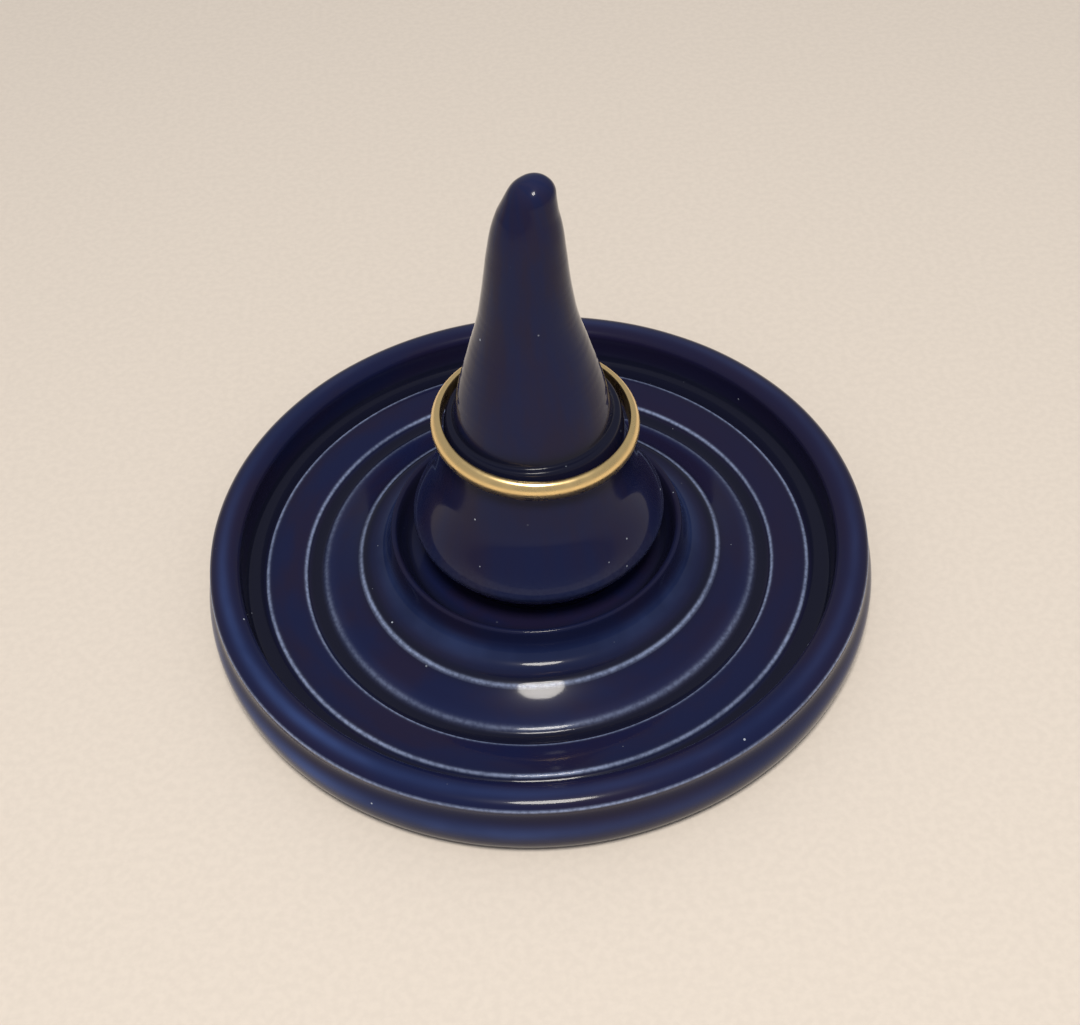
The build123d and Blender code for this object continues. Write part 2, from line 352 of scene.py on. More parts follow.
def dish_marks(outline, r, z):
    """Where the dish's glaze breaks to pale lines, takes a painted glow, pools and takes painted
    shade.
    """
    broken = marked(outline, [(strength, (r[line], z[line]), reach)
                              for line, strength, reach in BROKEN_LINES])
    # Painted glow: the wall's bulge, the rim's crest, the collar's flank, the inner land's outer
    # edge
    swell = marked(outline, [
        (1.0, (r["wall"], 0.54 * z["rim"]), 0.9),
        (0.72, (between(r["crest"], r["rim"], 0.25), z["crest"]), 0.6),
        (2.1, (between(r["collar"], r["valley"], 0.42),
               between(z["valley"], z["collar"], 0.24)), 1.0),
        (0.35, (r["line3"] - 0.5 * MM, z["line3"]), 0.7),
    ])
    # Pools: the channel, the groove, the valley. Painted shade: the wall's foot, the slope up from
    # the moat
    pool_and_shade = hollow_marks(outline) + marked(outline, [
        (0.9, (between(r["line1"], r["inner"], 0.62), z["channel"]), 1.6),
        (0.9, (between(r["line3"], r["line2"], 0.5), z["groove"]), 0.75),
        (0.9, (between(r["valley"], r["line4"], 0.55), z["valley"]), 0.9),
        (0.7, (r["wall"], 0.1 * z["rim"]), 1.1),
        (0.8, (between(r["moat"], r["collar"], 0.6), between(z["moat"], z["collar"], 0.6)), 1.1),
    ])
    return {"broken": np.clip(broken, 0, 1), "swell": swell, "pool_and_shade": np.clip(pool_and_shade, 0, 1)}


def post_marks(outline, at):
    """Where the post's glaze breaks a little, on the belly's edge, takes a painted glow, on the
    very tip, and pools, with painted shade under the band, on the shelf round the cone."""
    broken = marked(outline, [(0.06, at["belly"], 1.5)])
    swell = marked(outline, [(0.45, (0.0, POST_HIGH.z), 1.8)])
    pool_and_shade = hollow_marks(outline) + marked(outline, [(1.0, at["shelf"], 1.3)])
    return {"broken": broken, "swell": swell, "pool_and_shade": np.clip(pool_and_shade, 0, 1)}


def line_wander(outline, r):
    """Marks that say how far each turned line strays, as it does on the real dish."""
    stations = [r[line] for line in LINE_STRAYS]
    right, back, oval, trefoil = (np.interp(outline[:, 0], stations, strays) * MM
                                  for strays in zip(*LINE_STRAYS.values()))
    drift = np.column_stack([right, back, np.zeros_like(right)])
    return {"drift": drift, "oval": oval, "trefoil": trefoil}


def dish_radii(dish):
    """Radius of each turned line of the dish, by name, from the wall inwards."""
    radii = {"wall": (DISH_HIGH.x - DISH_LOW.x) / 2}
    radii["rim"] = radii["wall"] - dish.wall_bulge
    radii["crest"] = radii["rim"] - dish.rim_outer_run
    radii["inner"] = radii["crest"] - dish.rim_inner_run
    radii["line1"] = radii["inner"] - dish.channel_run
    radii["line2"] = radii["line1"] - dish.outer_land_run
    radii["line3"] = radii["line2"] - dish.groove_run
    radii["line4"] = radii["line3"] - dish.inner_land_run
    radii["valley"] = radii["line4"] - dish.valley_run
    radii["collar"] = radii["valley"] - dish.flank_run
    radii["moat"] = radii["collar"] - dish.crest_run
    radii["foot"] = radii["rim"] - dish.foot_inset
    return radii


def dish_heights(dish):
    """Height of each turned line of the dish above the table, by name."""
    heights = {"collar": DISH_HIGH.z + dish.crest_loss, "moat": POST_LOW.z}
    heights["line4"] = heights["collar"] - dish.collar_rise
    heights["valley"] = heights["line4"] + dish.valley_lift
    heights["line3"] = heights["line4"] - dish.inner_land_fall
    heights["groove"] = heights["line3"] - dish.groove_depth
    heights["line2"] = heights["line3"] + dish.groove_step
    heights["line1"] = heights["line2"] + dish.outer_land_rise
    heights["channel"] = heights["line1"] - dish.channel_depth
    heights["rim"] = heights["line1"] + dish.rim_rise
    heights["crest"] = heights["rim"] + dish.rim_crown
    heights["hub"] = heights["moat"] - dish.hub_thickness
    return heights


def floor_runs(dish, at):
    """From the vent, over the moat round the post and the collar's crest, down to the valley."""
    return [
        (straight((dish.vent_radius, at["moat"][1]), at["moat"], COARSE_STEP), 0),
        (bent(at["moat"], at["collar"], (0.55, 0.0), (0.45, 0.0), FINEST_STEP), 0),
        (bent(at["collar"], at["valley"], (0.175, 0.674), (0.754, 0.03), FINEST_STEP),
         dish.crest_ease),
    ]


def land_runs(dish, r, z, at):
    """The inner sloping land, the groove and the outer crowned land."""
    # Pulls that stand 4/3 as high as the crown bring the curve's middle up to it
    crown = (0.0, dish.land_crown * 4 / 3)
    return [
        (bent(at["valley"], at["line4"], (0.3, 0.0), (0.55, 0.86), FINEST_STEP), 0),
        (bent(at["line4"], at["line3"], (0.33, 0.443), (0.33, 0.237)), 0),
        (curve(at["line3"], (r["line3"], z["groove"]), (r["line2"], z["groove"]), at["line2"]),
         dish.line_ease),
        (curve(at["line2"], between(at["line2"], at["line1"], 0.33) + crown,
               between(at["line2"], at["line1"], 0.67) + crown, at["line1"]), dish.line_ease),
    ]


def rim_runs(dish, r, z, at):
    """The channel, the rounded rim, its sharp outer line and the bulging wall below it."""
    turn_up = (between(r["line1"], r["inner"], 0.82), between(z["channel"], z["rim"], 0.12))
    inner = (r["inner"], z["rim"])
    cove = (r["rim"] - dish.wall_cove, 0.88 * z["rim"])
    belly = (r["wall"], 0.42 * z["rim"])
    return [
        (curve(at["line1"], (between(r["line1"], r["inner"], 0.1), z["channel"]),
               (between(r["line1"], r["inner"], 0.62), z["channel"]), turn_up),
         dish.line_ease),
        (bent(turn_up, inner, (1.0, 0.3), (0.0, 0.4)), 0),
        (bent(inner, at["crest"], (0.0, 0.55), (0.55, 0.0)), 0),
        (bent(at["crest"], at["rim"], (0.55, 0.0), (0.12, 0.55)), 0),
        (straight(at["rim"], cove), dish.rim_ease),
        (bent(cove, belly, (0.0, 0.45), (0.0, 0.45)), 0),
        (bent(belly, (r["foot"], 0.0), (0.0, 5 / 7), (0.55, 0.0)), 0),
    ]


def underside_runs(dish, r, z):
    """The bare foot ring, the glazed recess, the dome under the post and the vent."""
    foot_inner = r["foot"] - dish.foot_width
    recess = (foot_inner - dish.recess_slope, dish.recess_depth)
    dome = (dish.hub_radius + dish.dome_run, dish.recess_depth)
    hub = (dish.hub_radius, z["hub"])
    vent = (dish.vent_radius, z["hub"])
    return [
        (straight((r["foot"], 0.0), (foot_inner, 0.0), COARSE_STEP), dish.foot_ease),
        (bent((foot_inner, 0.0), recess, (0.45, 0.0), (0.45, 0.0)), 0),
        (straight(recess, dome, COARSE_STEP), 0),
        (bent(dome, hub, (0.45, 0.0), (0.45, 0.0), COARSE_STEP), 0),
        (straight(hub, vent, COARSE_STEP), 0),
        (straight(vent, (dish.vent_radius, z["moat"]), COARSE_STEP), dish.line_ease),
    ]


def dish_outline(dish):
    """The whole closed outline of the dish, from the vent's top outwards and back again."""
    r, z = dish_radii(dish), dish_heights(dish)
    at = {line: np.array((r[line], z[line])) for line in r if line in z}
    outline = eased(floor_runs(dish, at) + land_runs(dish, r, z, at) + rim_runs(dish, r, z, at)
                    + underside_runs(dish, r, z))
    return outline[:-1]


def post_places(post):
    """Radius and height of each turn in the post's outside, by name."""
    cone, shelf, shoulder, seat, waist, belly = np.cumsum((
        post.cone_foot, post.shelf_run, post.shoulder_roll, post.seat_swell, post.waist_swell,
        post.belly_swell))
    foot_z, belly_z, waist_z, seat_z, shelf_z = np.cumsum((
        POST_LOW.z, post.belly_height, post.waist_rise, post.seat_rise, post.shoulder_rise))
    places = {"foot": (belly - post.neck_tuck, foot_z), "belly": (belly, belly_z),
              "waist": (waist, waist_z), "seat": (seat, seat_z), "shoulder": (shoulder, shelf_z),
              "shelf": (shelf, shelf_z), "cone": (cone, shelf_z)}
    return {name: np.array(place) for name, place in places.items()}


def post_outline(post, at):
    """The post from the tip down its outside, under its foot and up the casting's hollow."""
    cone_top_z = POST_HIGH.z - post.tip_radius
    foot_in, belly_in, seat_in = (at[name] - (post.wall, 0.0) for name in ("foot", "belly", "seat"))
    hollow_top = (0.0, between(at["seat"][1], cone_top_z, 0.6))
    return eased(cone_runs(post, at["cone"][1], cone_top_z) + [
        (straight(at["cone"], at["shelf"], post.shelf_run / 4), post.shelf_ease),
        (curve(at["shelf"], at["shoulder"], between(at["seat"], at["shoulder"], (0.5, 0.55)),
               at["seat"]), 0),
        (bent(at["seat"], at["waist"], (0.27, 0.322), (0.396, 0.322)), 0),
        (bent(at["waist"], at["belly"], (0.255, 0.349), (0.0, 0.159)), 0),
        (bent(at["belly"], at["foot"], (0.0, 0.26), (0.1, 0.3)), 0),
        (straight(at["foot"], foot_in, COARSE_STEP), 0),
        (bent(foot_in, belly_in, (0.0, 0.4), (0.0, 0.4), COARSE_STEP), 0),
        (bent(belly_in, seat_in, (0.0, 0.35), (0.0, 0.4), COARSE_STEP), 0),
        (straight(seat_in, hollow_top, COARSE_STEP), 0),
    ])


def cone_runs(post, shelf_z, cone_top_z):
    """The round nose and the cone below it, down to the shelf."""
    reach = math.asin(min(1.0, post.cone_foot * CONE_RADIUS_SHARES[0] / post.tip_radius))
    angles = np.linspace(0.0, reach, NOSE_STEPS)
    nose = np.column_stack([post.tip_radius * np.sin(angles),
                            cone_top_z + post.tip_radius * np.cos(angles)])
    knots = [(post.cone_foot * radius_share, between(shelf_z, cone_top_z, height_share))
             for height_share, radius_share in zip(CONE_HEIGHT_SHARES, CONE_RADIUS_SHARES)]
    knots[0] = tuple(nose[-1])
    cone = through(knots, KNOT_STEPS)
    down = (cone_top_z - cone[:, 1]) / (cone_top_z - shelf_z)
    turns = 2 * math.pi * cone[:, 1] / post.ripple_pitch
    ripple = np.sin(turns + RIPPLE_SWAY * np.sin(turns / RIPPLE_SWAY))
    cone[:, 0] += post.ripple_depth * ripple * np.maximum(down, 0) * (1 - down ** RIPPLE_FADE_POWER)
    return [(nose, 0), (cone, 0)]


def band_outline(band):
    """The band's closed section, from the middle of its bore up, round and back."""
    half = band.width / 2
    bore, outside = band.bore_radius, band.bore_radius + band.thickness
    inner, outer = bore + band.bore_crown, outside - band.crown
    step = band.width / 24
    outline = eased([
        (bent((bore, 0.0), (inner, half), (0.0, 0.4), (0.6, 0.3), step), 0),
        (straight((inner, half), (outer, half), step), band.edge_ease),
        (bent((outer, half), (outside, 0.0), (0.6, 0.25), (0.0, 0.4), step), band.edge_ease),
        (bent((outside, 0.0), (outer, -half), (0.0, 0.4), (0.6, 0.25), step), 0),
        (straight((outer, -half), (inner, -half), step), band.edge_ease),
        (bent((inner, -half), (bore, 0.0), (0.6, 0.3), (0.0, 0.4), step), band.edge_ease),
    ])
    return outline[:-1]


# The node tree that turns an outline

# Kinds of node that come up often, and how a range eases between its ends
MATH, VECTOR_MATH = "ShaderNodeMath", "ShaderNodeVectorMath"
NOISE, RANGE, MIX = "ShaderNodeTexNoise", "ShaderNodeMapRange", "ShaderNodeMix"
NAMED = "GeometryNodeInputNamedAttribute"
EASED = {"interpolation_type": "SMOOTHSTEP"}

TURNED_INPUTS = {
    "Outline": "Geometry", "Steps Around": "Int", "Guide Radius": "Float",
    "Oval Bearing": "Float", "Trefoil Bearing": "Float", "Lump Size": "Float",
    "Lump Depth": "Float", "Tilt": "Float", "Centre": "Vector", "Finish": "Material",
    "Foot Finish": "Material", "Foot Height": "Float",
}


def add(tree, kind, feeds=(), out=0, **settings):
    """Adds one node with its settings and links, and gives back one of its outputs. Feeds are
    outputs or plain values, by their sockets' names or in their sockets' order."""
    made = tree.nodes.new(kind)
    for name, value in settings.items():
        setattr(made, name, value)
    for socket, feed in (feeds if isinstance(feeds, dict) else dict(enumerate(feeds))).items():
        taker = made.inputs[socket]
        if isinstance(feed, bpy.types.NodeSocket):
            tree.links.new(feed, taker)
        else:
            taker.default_value = (*feed, 1.0) if taker.type == "RGBA" else feed
    return made.outputs[out] if made.outputs else made


def turned_form():
    """The tree that turns an outline about the Z axis, lets it wander and dresses it."""
    tree = bpy.data.node_groups.new("Turned form", "GeometryNodeTree")
    for name, kind in TURNED_INPUTS.items():
        tree.interface.new_socket(name=name, in_out="INPUT", socket_type="NodeSocket" + kind)
    tree.interface.new_socket(name="Form", in_out="OUTPUT", socket_type="NodeSocketGeometry")
    given = add(tree, "NodeGroupInput").node.outputs
    form = wandering(tree, given, revolved(tree, given))
    form = add(tree, "GeometryNodeSetShadeSmooth", {0: form})
    tilt = add(tree, "ShaderNodeCombineXYZ", {"Y": given["Tilt"]})
    form = add(tree, "GeometryNodeTransform", {"Geometry": form, "Rotation": tilt,
                                               "Translation": given["Centre"]})
    form = add(tree, "GeometryNodeRealizeInstances", {0: form})
    form = add(tree, "GeometryNodeSetMaterial", {"Geometry": form, "Material": given["Finish"]})
    height = add(tree, "ShaderNodeSeparateXYZ", (add(tree, "GeometryNodeInputPosition"),), "Z")
    low = add(tree, "FunctionNodeCompare", {"A": height, "B": given["Foot Height"]},
              data_type="FLOAT", operation="LESS_THAN")
    form = add(tree, "GeometryNodeSetMaterial", {"Geometry": form, "Selection": low,
                                                 "Material": given["Foot Finish"]})
    add(tree, "NodeGroupOutput", {"Form": form})
    return tree


def revolved(tree, given):
    """Nodes that sweep the outline round a guide circle and close its poles."""
    place = add(tree, "GeometryNodeInputPosition")
    parts = add(tree, "ShaderNodeSeparateXYZ", (place,)).node.outputs
    out = add(tree, MATH, (parts["X"], given["Guide Radius"]), operation="SUBTRACT")
    down = add(tree, MATH, (parts["Z"], -1.0), operation="MULTIPLY")
    flat = add(tree, "ShaderNodeCombineXYZ", (out, down))
    outline = add(tree, "GeometryNodeMeshToCurve", {0: given["Outline"]})
    outline = add(tree, "GeometryNodeSetPosition", {"Geometry": outline, "Position": flat})
    circle = add(tree, "GeometryNodeCurvePrimitiveCircle",
                 {"Resolution": given["Steps Around"], "Radius": given["Guide Radius"]})
    circle = add(tree, "GeometryNodeSetCurveNormal", {"Curve": circle}, mode="Z_UP")
    swept = add(tree, "GeometryNodeCurveToMesh", {"Curve": circle, "Profile Curve": outline})
    return add(tree, "GeometryNodeMergeByDistance", {"Geometry": swept, "Distance": WELD})


def wandering(tree, given, form):
    """Nodes that let each turned line drift, run oval and waver, as hand work does."""
    place = add(tree, "GeometryNodeInputPosition")
    parts = add(tree, "ShaderNodeSeparateXYZ", (place,)).node.outputs
    bearing = add(tree, MATH, (parts["Y"], parts["X"]), operation="ARCTAN2")
    swell = 0.0
    for mark, lobes, turned_by in (("oval", 2, "Oval Bearing"), ("trefoil", 3, "Trefoil Bearing")):
        wave = add(tree, MATH, (bearing, given[turned_by]), operation="SUBTRACT")
        wave = add(tree, MATH, (wave, lobes), operation="MULTIPLY")
        wave = add(tree, MATH, (wave,), operation="COSINE")
        depth = add(tree, NAMED, {"Name": mark}, data_type="FLOAT")
        wave = add(tree, MATH, (wave, depth), operation="MULTIPLY")
        swell = add(tree, MATH, (swell, wave), operation="ADD")
    cosine = add(tree, MATH, (bearing,), operation="COSINE")
    sine = add(tree, MATH, (bearing,), operation="SINE")
    outwards = add(tree, "ShaderNodeCombineXYZ", (cosine, sine))
    outwards = add(tree, VECTOR_MATH, {0: outwards, "Scale": swell}, operation="SCALE")
    drift = add(tree, NAMED, {"Name": "drift"}, data_type="FLOAT_VECTOR")
    shift = add(tree, VECTOR_MATH, (outwards, drift), operation="ADD")
    form = add(tree, "GeometryNodeSetPosition", {"Geometry": form, "Offset": shift})
    return add(tree, "GeometryNodeSetPosition",
               {"Geometry": form, "Offset": lumps(tree, given, place)})


def lumps(tree, given, place):
    """Nodes that press the surface in and out along its normal by a slow noise."""
    scale = add(tree, MATH, (1.0, given["Lump Size"]), operation="DIVIDE")
    height = add(tree, NOISE, {"Vector": place, "Scale": scale, "Detail": 1.0})
    height = add(tree, MATH, (height, 0.5), operation="SUBTRACT")
    depth = add(tree, NAMED, {"Name": "hand"}, data_type="FLOAT")
    depth = add(tree, MATH, (depth, given["Lump Depth"]), operation="MULTIPLY")
    height = add(tree, MATH, (height, depth), operation="MULTIPLY")
    return add(tree, VECTOR_MATH, {0: add(tree, "GeometryNodeInputNormal"), "Scale": height},
               operation="SCALE")


def turned_piece(name, outline, marks, inputs, closed):
    """A plain mesh object that the tree turns from an outline and its marks."""
    count = len(outline)
    mesh = bpy.data.meshes.new(name)
    edges = [(i, i + 1) for i in range(count - 1)] + ([(count - 1, 0)] if closed else [])
    mesh.from_pydata([(radius, 0.0, height) for radius, height in outline], edges, [])
    for mark, values in marks.items():
        kind, field = ("FLOAT", "value") if values.ndim == 1 else ("FLOAT_VECTOR", "vector")
        layer = mesh.attributes.new(mark, kind, "POINT")
        layer.data.foreach_set(field, values.astype(np.float32).ravel())
    piece = bpy.data.objects.new(name, mesh)
    bpy.context.scene.collection.objects.link(piece)
    modifier = piece.modifiers.new("Turned form", "NODES")
    modifier.node_group = bpy.data.node_groups.get("Turned form") or turned_form()
    identifiers = {item.name: item.identifier
                   for item in modifier.node_group.interface.items_tree
                   if item.in_out == "INPUT"}
    for socket, value in inputs.items():
        modifier[identifiers[socket]] = value
    depsgraph = bpy.context.evaluated_depsgraph_get()
    made = bpy.data.meshes.new_from_object(
        piece.evaluated_get(depsgraph), preserve_all_data_layers=True, depsgraph=depsgraph)
    piece.modifiers.clear()
    piece.data = made
    made.name = name
    bpy.data.meshes.remove(mesh)
    if not made.polygons:
        raise RuntimeError(name + " came out of the node tree without faces")
    return piece


# Finishes


def new_finish(name):
    """An empty material of that name, its tree, and the place on the object."""
    material = bpy.data.materials.new(name)
    material.use_nodes = True
    material.node_tree.nodes.clear()
    return material, material.node_tree, add(material.node_tree, "ShaderNodeTexCoord", (), "Object")


def shaded(tree, surface, relief=None, strength=0.0, depth=0.0):
    """Ends a tree in one shader with that surface, and with any relief of that depth."""
    if relief is not None:
        surface["Normal"] = add(tree, "ShaderNodeBump", {"Height": relief, "Strength": strength,
                                                         "Distance": depth})
    add(tree, "ShaderNodeOutputMaterial", (add(tree, "ShaderNodeBsdfPrincipled", surface),))


def mottled(tree, pattern, low, high, darkest, colour):
    """A colour that a pattern darkens, down to a share of itself, where it runs low."""
    share = add(tree, RANGE, (pattern, low, high), **EASED)
    shade = tuple(darkest * channel for channel in colour)
    return add(tree, MIX, {0: share, 6: shade, 7: colour}, 2, data_type="RGBA")


def cobalt_glaze(look):
    """Gloss cobalt glaze, dipped over pale stoneware and fired. It gives deep blue that breaks
    to pale lines on edges, a painted glow over swells, near black pools and painted shade, and
    mirrors."""
    material, tree, place = new_finish("cobalt_glaze_gloss_fired")
    # The swell mark is a painted glow; the last mark is glaze gathered in hollows and painted shade
    broken, swell, pool_and_shade = (add(tree, "ShaderNodeAttribute", (), "Fac", attribute_name=mark)
                             for mark in ("broken", "swell", "pool_and_shade"))
    across = add(tree, VECTOR_MATH, (place, GLOW_SIDE), "Value", operation="DOT_PRODUCT")
    # How the glaze ran, how its broken lines are grained, and how its skin wavers
    drift = add(tree, NOISE, {"Vector": drawn_out(tree, place, 15 * MM), "Scale": 1 / (6 * MM),
                              "Detail": 3.0})
    grain = add(tree, NOISE, {"Vector": place, "Scale": 1 / (0.4 * MM), "Detail": 3.0})
    waver = add(tree, NOISE, {"Vector": place, "Scale": 1 / (2.2 * MM), "Detail": 1.0})
    # What each share follows, the range it follows there, and the share at the range's ends
    shares = {"patch": (drift, 0.35, 0.65, 0.0, 1.0), "away": (across, 5 * MM, -25 * MM, 0.0, 0.7),
              "side": (across, 20 * MM, 34 * MM, 0.35, 1.0), "glow_patch": (drift, 0.3, 0.7, 0.35, 1.0),
              "line": (drift, 0.3, 0.6, 0.6, 1.0), "grit": (grain, 0.3, 0.65, 0.55, 1.0),
              "gloss": (drift, 0.3, 0.7, 0.05, 0.09)}
    shares = {name: add(tree, RANGE, row, **EASED) for name, row in shares.items()}
    # The painted glow is stronger on the glow side and in patches that follow the run of the glaze
    for name in ("glow_patch", "side"):
        swell = add(tree, MATH, (swell, shares[name]), operation="MULTIPLY")
    for name in ("line", "grit"):
        broken = add(tree, MATH, (broken, shares[name]), operation="MULTIPLY")
    # Layers: darker patches and back right, painted glow, gathered glaze with painted shade, lines,
    # specks
    colour = look.glaze_body
    for share, over in ((shares["patch"], look.glaze_thick), (shares["away"], look.glaze_thick),
                        (swell, look.painted_glow), (pool_and_shade, look.glaze_pool_and_shade),
                        (broken, look.glaze_broken), (pinholes(tree, place), look.speck)):
        colour = add(tree, MIX, {0: share, 6: colour, 7: over}, 2, data_type="RGBA")
    shaded(tree, {"Base Color": colour, "Roughness": shares["gloss"], "IOR": 1.225,
                  "Coat Weight": 0.2, "Coat Roughness": 0.26, "Coat IOR": 1.3},
           waver, 0.09, 0.05 * MM)
    return material


def drawn_out(tree, place, reach):
    """A place whose pattern runs round the axis, as the glaze does on a turning wheel. Along a
    turn it is as coarse as on a circle of that reach. Across the turns, a step in radius
    counts for half as much again as one in height."""
    flat = add(tree, VECTOR_MATH, (place, (1.0, 1.0, 0.0)), operation="MULTIPLY")
    radius = add(tree, VECTOR_MATH, (flat,), "Value", operation="LENGTH")
    turned = add(tree, VECTOR_MATH, (flat,), operation="NORMALIZE")
    turned = add(tree, VECTOR_MATH, {0: turned, "Scale": reach}, operation="SCALE")
    height = add(tree, "ShaderNodeSeparateXYZ", (place,), "Z")
    across = add(tree, MATH, (radius, 1.5, height), operation="MULTIPLY_ADD")
    across = add(tree, "ShaderNodeCombineXYZ", {"Z": across})
    return add(tree, VECTOR_MATH, (turned, across), operation="ADD")


def pinholes(tree, place):
    """A mask of sparse pale specks of uneven size, up to a quarter of a millimetre across."""
    cells = add(tree, "ShaderNodeTexVoronoi", {"Vector": place, "Scale": 1 / (1.9 * MM),
                                               "Randomness": 1.0}).node.outputs
    picks = add(tree, "ShaderNodeSeparateColor", (cells["Color"],)).node.outputs
    reach = add(tree, RANGE, (picks[1], 0.0, 1.0, 0.025, 0.07), **EASED)
    fade = add(tree, MATH, (reach, cells["Distance"]), operation="SUBTRACT")
    dot = add(tree, RANGE, (fade, 0.0, 0.02), **EASED)
    kept = add(tree, RANGE, (picks[0], 0.55, 0.95, 0.0, 0.85), **EASED)
    return add(tree, MATH, (dot, kept), operation="MULTIPLY")


def bare_clay(look):
    """Unglazed stoneware, wiped clean of glaze before firing. It gives a dry, sandy foot."""
    material, tree, place = new_finish("stoneware_bare_wiped")
    grit = add(tree, NOISE, {"Vector": place, "Scale": 1 / (0.25 * MM), "Detail": 4.0})
    colour = mottled(tree, grit, 0.35, 0.7, 0.72, look.clay)
    shaded(tree, {"Base Color": colour, "Roughness": 0.9}, grit, 0.4, 0.04 * MM)
    return material


def polished_gold(look):
    """Yellow gold, polished and then worn by use. It gives warm mirrors with a soft haze."""
    material, tree, place = new_finish("yellow_gold_polished_worn")
    haze = add(tree, NOISE, {"Vector": place, "Scale": 1 / (1.6 * MM), "Detail": 3.0})
    # Real scuffs are finer than this, which is as fine as the render can show
    scuffs = add(tree, NOISE, {"Vector": place, "Scale": 1 / (0.12 * MM), "Detail": 2.0})
    worn = add(tree, RANGE, (haze, 0.3, 0.7, 0.25, 0.34), **EASED)
    shaded(tree, {"Base Color": look.gold, "Metallic": 1.0, "Roughness": worn},
           scuffs, 0.05, 0.01 * MM)
    return material


def pale_floor(look):
    """Plain matt paper sweep. It gives a pale, even ground with a faint tooth."""
    material, tree, place = new_finish("paper_sweep_matt")
    # The tooth of real paper is finer than this, which is as fine as the render can show
    tooth = add(tree, NOISE, {"Vector": place, "Scale": 1 / (0.8 * MM), "Detail": 3.0})
    colour = mottled(tree, tooth, 0.3, 0.7, 0.95, look.floor)
    shaded(tree, {"Base Color": colour, "Roughness": 0.95})
    return material


# Operators


class RINGDISH_OT_turn_dish(bpy.types.Operator):
    """Turn the glazed saucer with its ringed floor, rim and bare foot"""
    bl_idname = "ring_dish.turn_dish"
    bl_label = "Turn the dish"

    def execute(self, context):
        dish, look = context.scene.ring_dish, context.scene.ring_finish
        outline, r = dish_outline(dish), dish_radii(dish)
        marks = dish_marks(outline, r, dish_heights(dish)) | line_wander(outline, r)
        marks["hand"] = (outline[:, 1] > dish.recess_depth).astype(float)
        piece = turned_piece("dish_glazed", outline, marks, {
            "Steps Around": dish.steps_around, "Guide Radius": r["line4"] / 2,
            "Oval Bearing": OVAL_BEARING, "Trefoil Bearing": TREFOIL_BEARING,
            "Lump Size": dish.lump_size, "Lump Depth": dish.lump_depth,
            "Finish": cobalt_glaze(look), "Foot Finish": bare_clay(look),
            "Foot Height": FOOT_HEIGHT}, closed=True)
        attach(piece, "dish")
        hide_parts("dish")
        return {"FINISHED"}


class RINGDISH_OT_turn_post(bpy.types.Operator):
    """Turn the glazed post, a leaning cone on a bulb"""
    bl_idname = "ring_dish.turn_post"
    bl_label = "Turn the post"

    def execute(self, context):
        post, look = context.scene.ring_post, context.scene.ring_finish
        at = post_places(post)
        outline = post_outline(post, at)
        shelf_z = at["shelf"][1]
        share = np.clip((outline[:, 1] - shelf_z) / (POST_HIGH.z - shelf_z), 0, 1)
        nub = np.clip((share - NUB_START) / (1 - NUB_START), 0, 1)
        lean = post.tip_lean * share ** LEAN_POWER + post.nub_lean * nub
        upright = np.zeros_like(lean)
        marks = post_marks(outline, at)
        marks["drift"] = np.column_stack([lean, upright, upright])
        marks["hand"] = share ** UNEVEN_POWER
        finish = bpy.data.materials.get("cobalt_glaze_gloss_fired") or cobalt_glaze(look)
        piece = turned_piece("post_glazed", outline, marks, {
            "Steps Around": post.steps_around, "Guide Radius": post.cone_foot / 2,
            "Lump Size": post.lump_size, "Lump Depth": post.lump_depth,
            "Centre": (post.off_centre, 0.0, 0.0), "Finish": finish,
            "Foot Finish": finish, "Foot Height": 0.0}, closed=False)
        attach(piece, "dish")
        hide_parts("post")
        return {"FINISHED"}


class RINGDISH_OT_forge_band(bpy.types.Operator):
    """Make the plain gold band and hang it on the post's shoulder"""
    bl_idname = "ring_dish.forge_band"
    bl_label = "Make the band"

    def execute(self, context):
        band = context.scene.ring_band
        finish = polished_gold(context.scene.ring_finish)
        piece = turned_piece("gold_band", band_outline(band), {}, {
            "Steps Around": band.steps_around, "Guide Radius": band.bore_radius,
            "Lump Size": band.width, "Lump Depth": 0.0, "Tilt": band.tilt,
            "Centre": tuple((BAND_LOW + BAND_HIGH) / 2), "Finish": finish,
            "Foot Finish": finish, "Foot Height": 0.0}, closed=True)
        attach(piece, "band")
        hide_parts("ring_band")
        return {"FINISHED"}


class RINGDISH_OT_set_stage(bpy.types.Operator):
    """Lay the floor, hang the lamp, light the room and stand the camera"""
    bl_idname = "ring_dish.set_stage"
    bl_label = "Set the stage"

    def execute(self, context):
        scene, stage = context.scene, context.scene.ring_stage
        lay_floor(scene, stage.floor_reach, scene.ring_finish)
        hang_lamp(scene, stage)
        light_room(scene, stage)
        stand_camera(scene, stage, dish_heights(scene.ring_dish)["rim"])
        scene.view_settings.view_transform = "Standard"
        return {"FINISHED"}


def lay_floor(scene, reach, look):
    """A flat pale floor under the dish."""
    half = reach / 2
    mesh = bpy.data.meshes.new("floor")
    mesh.from_pydata([(-half, -half, 0), (half, -half, 0), (half, half, 0), (-half, half, 0)],
                     [], [(0, 1, 2, 3)])
    mesh.materials.append(pale_floor(look))
    floor = bpy.data.objects.new("floor", mesh)
    scene.collection.objects.link(floor)


def hang_lamp(scene, stage):
    """One round lamp overhead, a little to the camera's side."""
    lamp = bpy.data.lights.new("ceiling_lamp", "AREA")
    lamp.shape = "DISK"
    lamp.size = stage.lamp_width
    lamp.energy = stage.lamp_power
    lamp.color = linear(LAMP_LIGHT)
    holder = bpy.data.objects.new("ceiling_lamp", lamp)
    away = Vector((0.0, -math.cos(stage.lamp_elevation), math.sin(stage.lamp_elevation)))
    holder.location = away * stage.lamp_distance
    holder.rotation_euler = away.to_track_quat("Z", "Y").to_euler()
    scene.collection.objects.link(holder)


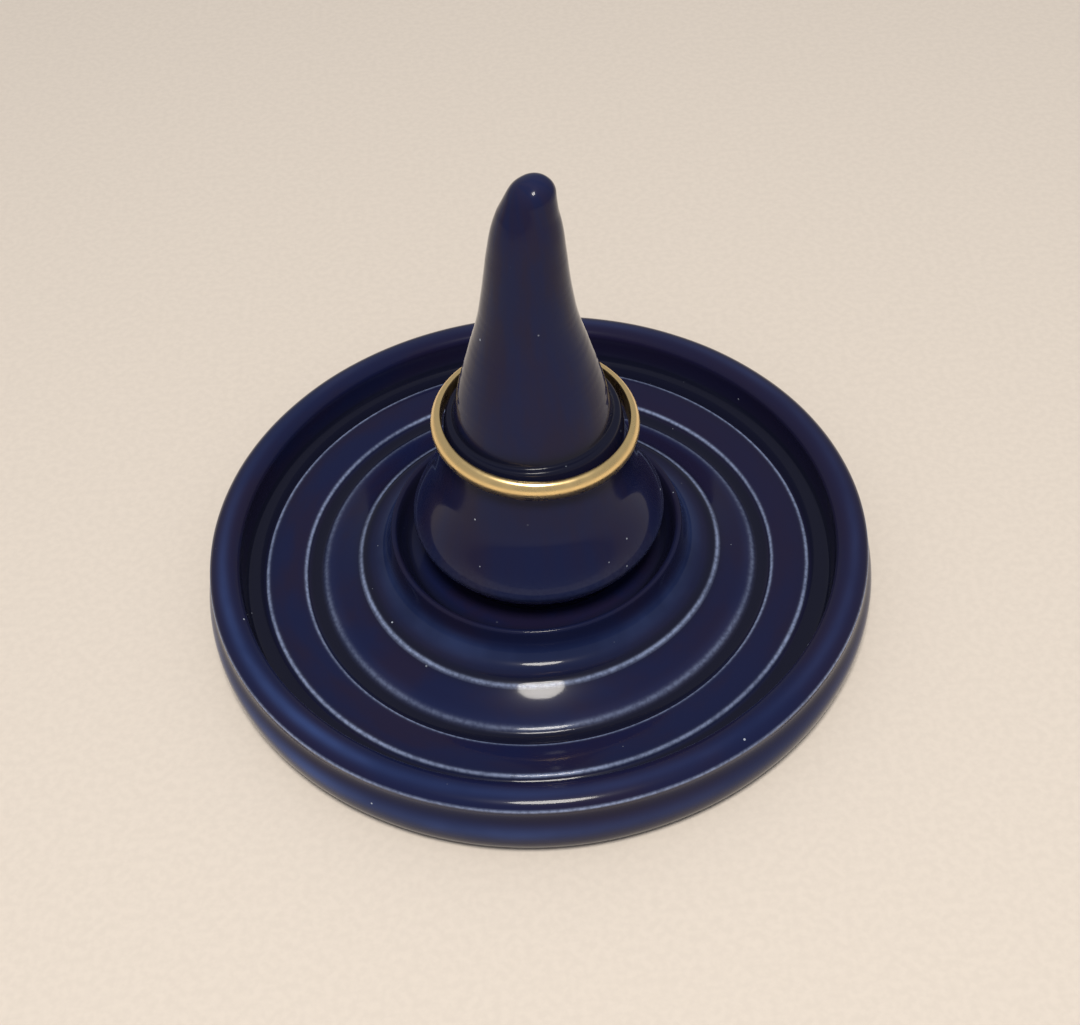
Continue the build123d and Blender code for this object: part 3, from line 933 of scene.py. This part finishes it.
def light_room(scene, stage):
    """Even light from all round, as pale walls give."""
    world = bpy.data.worlds.new("room")
    world.use_nodes = True
    world.node_tree.nodes.clear()
    shade = add(world.node_tree, "ShaderNodeBackground",
                {"Color": linear(ROOM_LIGHT), "Strength": stage.room_level})
    add(world.node_tree, "ShaderNodeOutputWorld", {"Surface": shade})
    scene.world = world


def stand_camera(scene, stage, rim_z):
    """The camera where the photograph was taken, looking down at the middle of the rim."""
    camera = bpy.data.cameras.new("camera")
    camera.sensor_width = stage.sensor_width / MM
    camera.lens = camera.sensor_width * stage.lens_share
    camera.clip_start = 10 * MM
    holder = bpy.data.objects.new("camera", camera)
    look_down = Euler((math.pi / 2 - stage.camera_elevation, 0, 0)).to_matrix().to_4x4()
    turned = look_down @ Matrix.Rotation(stage.camera_roll, 4, "Z")
    step = turned @ Vector((stage.aim_right, stage.aim_up, stage.camera_distance))
    holder.matrix_world = Matrix.Translation(Vector((0, 0, rim_z)) + step) @ turned
    scene.collection.objects.link(holder)
    scene.camera = holder


class RINGDISH_PT_sidebar(bpy.types.Panel):
    """Lists the pieces, the finishes and the stage"""
    bl_idname = "RINGDISH_PT_sidebar"
    bl_label = "Ring dish"
    bl_space_type = "VIEW_3D"
    bl_region_type = "UI"
    bl_category = "Ring dish"

    def draw(self, context):
        for group, kind in GROUPS.items():
            box = self.layout.box()
            if group in STEPS:
                box.operator(STEPS[group].bl_idname)
            for name in kind.__annotations__:
                box.prop(getattr(context.scene, group), name)


GROUPS = {"ring_dish": DishSizes, "ring_post": PostSizes, "ring_band": BandSizes,
          "ring_finish": FinishLook, "ring_stage": StageSizes}
STEPS = {"ring_dish": RINGDISH_OT_turn_dish, "ring_post": RINGDISH_OT_turn_post,
         "ring_band": RINGDISH_OT_forge_band, "ring_stage": RINGDISH_OT_set_stage}
CLASSES = (*GROUPS.values(), *STEPS.values(), RINGDISH_PT_sidebar)


def register():
    for made in CLASSES:
        bpy.utils.register_class(made)
    for name, group in GROUPS.items():
        setattr(bpy.types.Scene, name, PointerProperty(type=group))


def unregister():
    for name in GROUPS:
        delattr(bpy.types.Scene, name)
    for made in reversed(CLASSES):
        bpy.utils.unregister_class(made)


def main():
    """Registers the add-on, and makes every piece and the stage."""
    register()
    bpy.ops.ring_dish.turn_dish()
    bpy.ops.ring_dish.turn_post()
    bpy.ops.ring_dish.forge_band()
    bpy.ops.ring_dish.set_stage()


if __name__ == "__main__":
    main()
